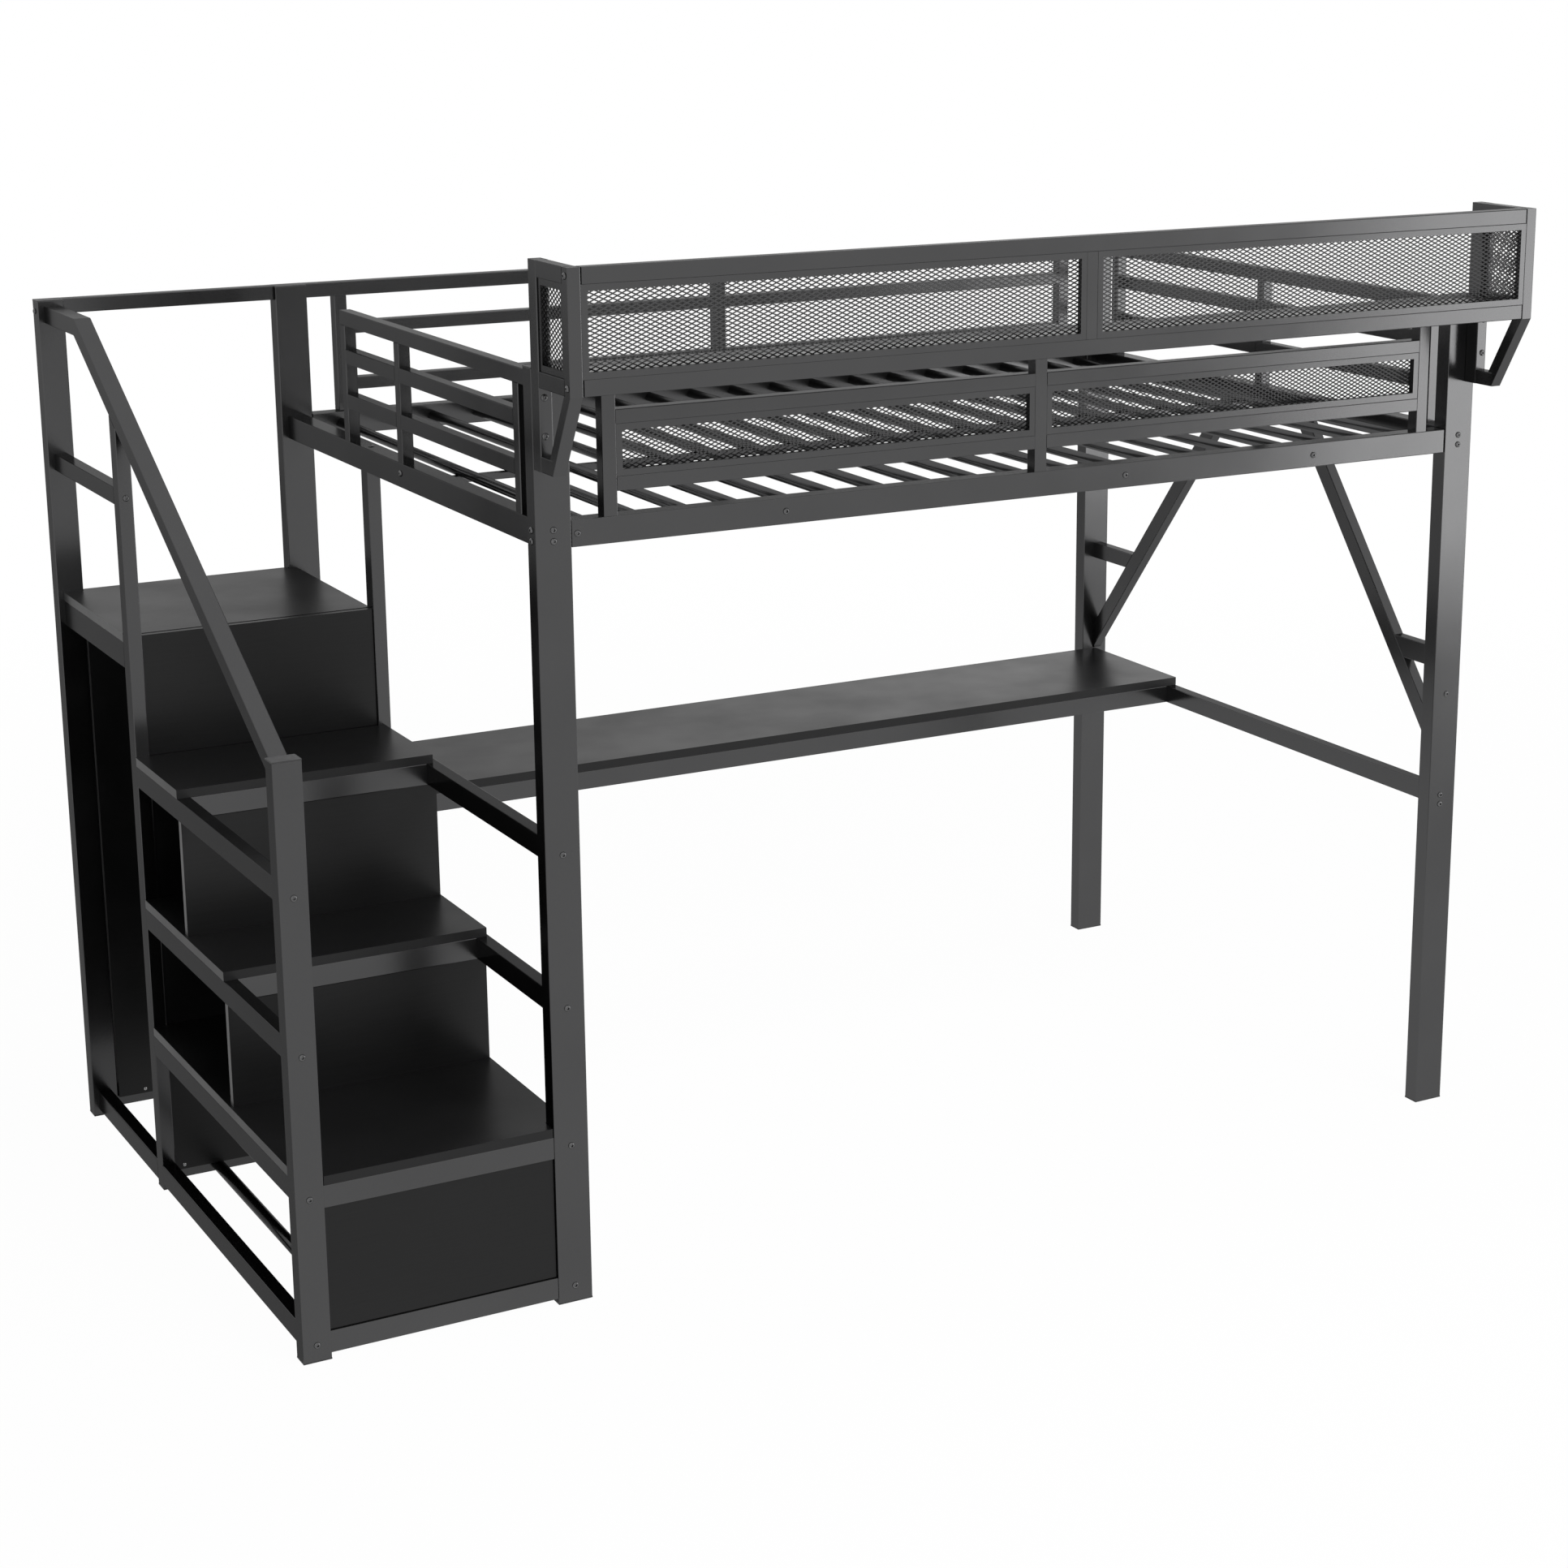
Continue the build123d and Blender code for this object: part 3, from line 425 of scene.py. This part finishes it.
# Tray along the front. Two bracket frames bolted to the posts carry a front frame and a folded sheet
# floor with a rail behind it, the floor coloured pale as painted light for the bright light seen on it.
# Square tube, welded and coated, the open tops of its uprights closed by small lids.
tray_coat = coated_steel("tray_coat", *dark_coat)
dress(tray_coat, "tray_left_frame", "tray_right_frame", "tray_front_frame", "tray_rear_rail")
# Painted light: the pale colour of the floor sheet stands in for the bright light seen on it.
painted_light_tray_sheet = coated_steel("painted_light_tray_sheet", (0.62, 0.62, 0.622), (0.68, 0.68, 0.682), (0.3, 0.4))
dress(painted_light_tray_sheet, "tray_floor")
tube_wall = 0.0015
lid_thickness = 0.002
lid_sink = 0.0002
least_upright = 0.1
lids = bmesh.new()
for name in ("tray_left_frame", "tray_right_frame"):
    tray_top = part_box(name)[1].z
    for points in islands(name):
        low, high = span(points)
        if high.z > tray_top - 0.001 and high.z - low.z > least_upright:
            size = (high.x - low.x - 2 * tube_wall, high.y - low.y - 2 * tube_wall, lid_thickness, 1)
            seat = high.z - lid_sink - lid_thickness / 2
            place = Matrix.Translation(((low.x + high.x) / 2, (low.y + high.y) / 2, seat))
            bmesh.ops.create_cube(lids, size=1, matrix=place @ Matrix.Diagonal(size))
put("tray_end_lids", lids, tray_coat, None)

# Handrail, the guard bar under it and the rail behind the landing. The handrail is square tube, mitred
# and welded at the bend. All three are fixed between posts.
handrail_coat = coated_steel("handrail_coat", *dark_coat)
dress(handrail_coat, "handrail", "landing_guard_bar", "landing_top_rail")

# Rails that carry the stair and close the bottom of the wardrobe bay. Rectangular tube, bolted to the
# posts from the front, with one round tube along the floor.
stair_coat = coated_steel("stair_coat", *dark_coat)
stretcher_radius = 0.0125
dress(
    stair_coat,
    "bottom_cross_rails",
    "stair_left_rails",
    "stair_right_rails",
    "landing_left_rails",
    "landing_right_rails",
    "tread_cross_rails",
)
round_tubes("round_stretcher", "bottom_stretcher", stretcher_radius, stair_coat)


# Treads, landing and desk top. Chipboard faced with a dark laminate, its edges closed by glued plastic
# strip that is a little paler. The sides that look along X carry painted light over the strip, palest at
# the sides of the landing and the desk. They lie on the rails.
def laminate_group():
    """Colour, roughness and relief of a dark laminate with a faint lengthways grain."""
    group, given, made = new_group(
        "laminate",
        (
            ("Colour", "NodeSocketColor", (0.02, 0.02, 0.02, 1)),
            ("Light Colour", "NodeSocketColor", (0.03, 0.03, 0.03, 1)),
        ),
        (("Colour", "NodeSocketColor"), ("Roughness", "NodeSocketFloat"), ("Height", "NodeSocketFloat")),
    )
    place = group.nodes.new("ShaderNodeTexCoord").outputs["Object"]
    drawn = group.nodes.new("ShaderNodeMapping")
    drawn.inputs["Scale"].default_value = (0.04, 1.0, 1.0)
    group.links.new(place, drawn.inputs["Vector"])
    grain = noise(group, drawn.outputs["Vector"], scale=260.0, detail=4.0)
    cloud = noise(group, place, scale=6.0, detail=3.0)
    pores = noise(group, place, scale=900.0, detail=1.0)
    shade = reckon(group, "ADD", reckon(group, "MULTIPLY", grain, 0.6), reckon(group, "MULTIPLY", pores, 0.4))
    lightness = spread(group, shade, 0.0, 1.0)
    blend = mixed(group, lightness, given.outputs["Colour"], given.outputs["Light Colour"])
    group.links.new(blend, made.inputs["Colour"])
    group.links.new(spread(group, cloud, 0.3, 0.38), made.inputs["Roughness"])
    group.links.new(shade, made.inputs["Height"])
    return group


laminate = laminate_group()


def edge_group():
    """Masks of the faces that look along X, where boards get painted light, and along Y."""
    masks = (("Along X", "NodeSocketFloat"), ("Along Y", "NodeSocketFloat"))
    group, _, made = new_group("edges", (), masks)
    facing = group.nodes.new("ShaderNodeSeparateXYZ")
    normal = group.nodes.new("ShaderNodeNewGeometry").outputs["True Normal"]
    group.links.new(normal, facing.inputs["Vector"])
    for label, axis in (("Along X", "X"), ("Along Y", "Y")):
        amount = reckon(group, "ABSOLUTE", facing.outputs[axis], 0.0)
        group.links.new(reckon(group, "GREATER_THAN", amount, 0.8), made.inputs[label])
    return group


edges = edge_group()


def board_material(name, side_band_and_painted_light, front_band, specular):
    """Laminate with banded edges, the faces along X tinted as painted light; a front band of None leaves the
    faces along Y as laminate.
    """
    material = bpy.data.materials.new(name)
    material.use_nodes = True
    tree = material.node_tree
    shader = tree.nodes["Principled BSDF"]
    shader.inputs["Specular IOR Level"].default_value = specular
    sheet = tree.nodes.new("ShaderNodeGroup")
    sheet.node_tree = laminate
    sheet.inputs["Colour"].default_value = (0.005, 0.005, 0.0052, 1)
    sheet.inputs["Light Colour"].default_value = (0.008, 0.008, 0.0083, 1)
    facing = tree.nodes.new("ShaderNodeGroup")
    facing.node_tree = edges
    # Painted light: the faces that look along X take a tone set for how light falls on them, over the edge
    # band.
    colour = mixed(tree, facing.outputs["Along X"], sheet.outputs["Colour"], (*side_band_and_painted_light, 1))
    if front_band:
        colour = mixed(tree, facing.outputs["Along Y"], colour, (*front_band, 1))
    bump = tree.nodes.new("ShaderNodeBump")
    bump.inputs["Strength"].default_value = 0.05
    bump.inputs["Distance"].default_value = 0.0002
    tree.links.new(colour, shader.inputs["Base Color"])
    tree.links.new(sheet.outputs["Roughness"], shader.inputs["Roughness"])
    tree.links.new(sheet.outputs["Height"], bump.inputs["Height"])
    tree.links.new(bump.outputs["Normal"], shader.inputs["Normal"])
    return material


board_edge = 0.0009
front_strip = (0.024, 0.024, 0.0245)
# The side tones given here are painted light on the sides that look along X.
tread_board = board_material("tread_board", (0.08, 0.08, 0.081), front_strip, 0.22)
dress(tread_board, "lower_tread", "middle_tread", "upper_tread")
top_board = board_material("top_board", (0.2, 0.2, 0.202), front_strip, 0.22)
dress(top_board, "landing_board", "desk_top")
soften(board_edge, 2, "lower_tread", "middle_tread", "upper_tread", "landing_board", "desk_top")

# Risers and wardrobe panels. Laminated board fixed to the rails. The cut sides of the risers carry a pale
# painted highlight, those of the wardrobe panels a dark tone close to the laminate.
panel_edge = 0.0007
# The riser sides get a pale painted highlight, the wardrobe panel sides a dark tone.
riser_board = board_material("riser_board", (0.3, 0.3, 0.302), None, 0.3)
dress(riser_board, "front_riser", "middle_riser", "upper_riser")
panel_board = board_material("panel_board", (0.012, 0.012, 0.0123), None, 0.3)
dress(panel_board, "landing_riser", "wardrobe_back_panel")
soften(panel_edge, 2, "front_riser", "middle_riser", "upper_riser", "landing_riser", "wardrobe_back_panel")

# Desk frame. Rails of rectangular tube under the edges of the top, fixed to the landing's posts at the
# left and to the bed's posts at the right.
desk_coat = coated_steel("desk_coat", *dark_coat)
dress(desk_coat, "desk_front_rail", "desk_rear_rail", "desk_left_rail", "desk_right_rail")

# Braces of the right end. Two slanted tubes from the posts to the end rail, each with a short level
# strut, their ends cut to the slope and welded.
brace_coat = coated_steel("brace_coat", *dark_coat)
dress(brace_coat, "right_end_braces")

# Bolts and panel screws. Button heads with a hexagon socket, cold formed and plated a dark nickel, turned
# in with a hexagon key. The screws are smaller and plated brighter.
head_sides = 24
dome = ((1.0, 0.0), (1.0, 0.22), (0.93, 0.52), (0.8, 0.78), (0.62, 0.95), (0.52, 1.0))
socket_share = 0.44
socket_floor = 0.15


def button_head(build, foot, way, radius, height):
    """Domed head with a hexagon socket, standing on a point and facing a way."""
    place = Matrix.Translation(foot) @ way.to_track_quat("Z", "Y").to_matrix().to_4x4()
    turns = [math.tau * i / head_sides for i in range(head_sides)]
    flat = socket_share * radius * math.cos(math.tau / 12)
    hexagon = [flat / math.cos(turn % (math.tau / 6) - math.tau / 12) for turn in turns]
    outlines = [([share * radius] * head_sides, level) for share, level in dome]
    outlines += [(hexagon, 1.0), (hexagon, socket_floor)]
    loops = []
    for distances, level in outlines:
        loop = []
        for turn, distance in zip(turns, distances):
            point = Vector((distance * math.cos(turn), distance * math.sin(turn), level * height))
            loop.append(build.verts.new(place @ point))
        loops.append(loop)
    for number, (outer, inner) in enumerate(zip(loops[:-1], loops[1:])):
        for i in range(head_sides):
            j = (i + 1) % head_sides
            face = build.faces.new((outer[i], outer[j], inner[j], inner[i]))
            face.smooth = 0 < number < len(dome) - 1
    build.faces.new(loops[-1])


def button_heads(name, node, radius, height, material):
    """A head on each fastener of a CAD node, facing away from its shank."""
    build = bmesh.new()
    for points in islands(node):
        low, high = span(points)
        size = high - low
        axis = max(range(3), key=lambda i: size[i])
        middle = (low + high) / 2
        ends = {}
        for sign, level in ((-1, low[axis]), (1, high[axis])):
            tip = [p for p in points if abs(p[axis] - level) < 0.0001]
            ends[sign] = max((p - middle).length for p in tip)
        sign = max(ends, key=ends.get)
        way = Vector([sign if i == axis else 0 for i in range(3)])
        foot = middle.copy()
        foot[axis] = (high if sign > 0 else low)[axis] - sign * height
        button_head(build, foot, way, radius, height)
    return put(name, build, material, node)


def plating(name, dark, light):
    """Plated metal, rubbed brighter in places."""
    material = bpy.data.materials.new(name)
    material.use_nodes = True
    tree = material.node_tree
    shader = tree.nodes["Principled BSDF"]
    shader.inputs["Metallic"].default_value = 0.9
    place = tree.nodes.new("ShaderNodeTexCoord").outputs["Object"]
    rub = noise(tree, place, scale=260.0, detail=3.0)
    shade = mixed(tree, spread(tree, rub, 0.0, 1.0), (*dark, 1), (*light, 1))
    tree.links.new(shade, shader.inputs["Base Color"])
    tree.links.new(spread(tree, rub, 0.22, 0.34), shader.inputs["Roughness"])
    return material


bolt_radius, bolt_height = 0.0065, 0.003
screw_radius, screw_height = 0.004, 0.0016
bolt_plating = plating("bolt_plating", (0.08, 0.08, 0.081), (0.15, 0.15, 0.152))
button_heads("button_bolts", "frame_bolts", bolt_radius, bolt_height, bolt_plating)
screw_plating = plating("screw_plating", (0.3, 0.3, 0.303), (0.42, 0.42, 0.423))
button_heads("button_screws", "panel_screws", screw_radius, screw_height, screw_plating)

# Studio. A white floor that only the eye and the reflections see as white, grey cards at the left and
# behind that only the reflections see, and three soft lamps, so that the dark frame keeps its shape.
floor_reach = 60.0
floor_drop = 0.0005
data = bpy.data.meshes.new("studio_floor")
data.from_pydata(
    [(x * floor_reach, y * floor_reach, 0) for x, y in ((-1, -1), (1, -1), (1, 1), (-1, 1))],
    [],
    [(0, 1, 2, 3)],
)
floor = bpy.data.objects.new("studio_floor", data)
scene.collection.objects.link(floor)
floor.location.z = cad_box[0].z - floor_drop


def seen_rays(tree):
    """One where a ray comes from the eye, from a reflection or through glass, else nothing."""
    path = tree.nodes.new("ShaderNodeLightPath")
    seen = reckon(tree, "MAXIMUM", path.outputs["Is Camera Ray"], path.outputs["Is Glossy Ray"])
    return reckon(tree, "MAXIMUM", seen, path.outputs["Is Transmission Ray"])


floor_paint = bpy.data.materials.new("floor_paint")
floor_paint.use_nodes = True
tree = floor_paint.node_tree
shader = tree.nodes["Principled BSDF"]
shader.inputs["Roughness"].default_value = 0.9
shader.inputs["Specular IOR Level"].default_value = 0.0
seen = seen_rays(tree)
floor_shade = mixed(tree, seen, (0.05, 0.05, 0.05, 1), (0.85, 0.85, 0.85, 1))
tree.links.new(floor_shade, shader.inputs["Base Color"])
glow = tree.nodes.new("ShaderNodeEmission")
glow.inputs["Strength"].default_value = 1.0
mix = tree.nodes.new("ShaderNodeMixShader")
away = tree.nodes.new("ShaderNodeVectorMath")
away.operation = "LENGTH"
tree.links.new(tree.nodes.new("ShaderNodeTexCoord").outputs["Object"], away.inputs[0])
share = spread(tree, away.outputs["Value"], 0.98, 1.0, start=2.5, stop=6.0)
tree.links.new(reckon(tree, "MULTIPLY", seen, share), mix.inputs[0])
tree.links.new(shader.outputs[0], mix.inputs[1])
tree.links.new(glow.outputs[0], mix.inputs[2])
tree.links.new(mix.outputs[0], tree.nodes["Material Output"].inputs["Surface"])
floor.data.materials.append(floor_paint)

world = bpy.data.worlds.new("studio")
scene.world = world
world.use_nodes = True
tree = world.node_tree
background = tree.nodes["Background"]
background.inputs["Color"].default_value = (1, 1, 1, 1)
world_level = spread(tree, seen_rays(tree), 0.1, 1.0, start=0.0, stop=1.0)
tree.links.new(world_level, background.inputs["Strength"])


def card(name, corners, axis, shades, levels):
    """Grey card that only the reflections see, its shade graded along X or Z."""
    data = bpy.data.meshes.new(name)
    data.from_pydata(corners, [], [(0, 1, 2, 3)])
    sheet = bpy.data.objects.new(name, data)
    scene.collection.objects.link(sheet)
    sheet.visible_camera = False
    sheet.visible_diffuse = False
    sheet.visible_shadow = False
    paint = bpy.data.materials.new(name)
    paint.use_nodes = True
    tree = paint.node_tree
    place = tree.nodes.new("ShaderNodeSeparateXYZ")
    tree.links.new(tree.nodes.new("ShaderNodeTexCoord").outputs["Object"], place.inputs["Vector"])
    glow = tree.nodes.new("ShaderNodeEmission")
    tree.links.new(spread(tree, place.outputs[axis], *shades, *levels), glow.inputs["Strength"])
    tree.links.new(glow.outputs[0], tree.nodes["Material Output"].inputs["Surface"])
    sheet.data.materials.append(paint)


def back_corners(low, high):
    """Corners of a card that stands behind the bed, between two heights."""
    left, right, depth = -0.6, 9, 4
    return [(left, depth, low), (right, depth, low), (right, depth, high), (left, depth, high)]


near, far = -0.62, 15
ground = [(-6, near, 0.002), (-0.82, near, 0.002), (-0.82, far, 0.002), (-6, far, 0.002)]
card("left_ground", ground, "X", (0.6, 0.6), (0.0, 1.0))
wall = [(-2.4, near, 0.003), (-2.4, far, 0.003), (-2.4, far, 5), (-2.4, near, 5)]
card("left_wall", wall, "Z", (0.55, 0.98), (0.4, 1.5))
card("back_wall", back_corners(0, 2.5), "X", (0.6, 1.15), (0.4, 3.0))
card("high_wall", back_corners(2.5, 4.6), "X", (0.6, 0.6), (0.4, 3.0))


def lamp(name, place, aim, size, power, reflected):
    """Soft square lamp, seen in reflections or not."""
    light = bpy.data.lights.new(name, "AREA")
    light.shape = "RECTANGLE"
    light.size, light.size_y = size
    light.energy = power
    holder = bpy.data.objects.new(name, light)
    scene.collection.objects.link(holder)
    holder.visible_glossy = reflected
    holder.location = place
    holder.rotation_euler = (Vector(aim) - Vector(place)).to_track_quat("-Z", "Y").to_euler()


lamp("front", (1.4, -6.2, 5.0), aim=(0.0, 0.0, 1.0), size=(4.0, 2.5), power=340, reflected=False)
lamp("top", (0.4, -0.6, 5.5), aim=(0.4, 0.2, 0.0), size=(3.5, 2.0), power=110, reflected=False)
lamp("right", (4.5, -3.7, 1.25), aim=(1.2, -0.2, 1.4), size=(2.0, 2.1), power=47, reflected=True)

lens_px = 3802.96
picture_px = 1932
principal_px = (1115.2, 874.9)
pitch_down = 14.617
turned_right = 29.809
camera = bpy.data.cameras.new("camera")
camera.sensor_width = 36.0
camera.lens = lens_px / picture_px * camera.sensor_width
camera.shift_x = (picture_px / 2 - principal_px[0]) / picture_px
camera.shift_y = (principal_px[1] - picture_px / 2) / picture_px
eye = bpy.data.objects.new("camera", camera)
scene.collection.objects.link(eye)
eye.location = (-2.9529, -5.6831, 2.6)
eye.rotation_euler = (math.radians(90 - pitch_down), 0, math.radians(-turned_right))
scene.camera = eye

scene.view_settings.view_transform = "Standard"
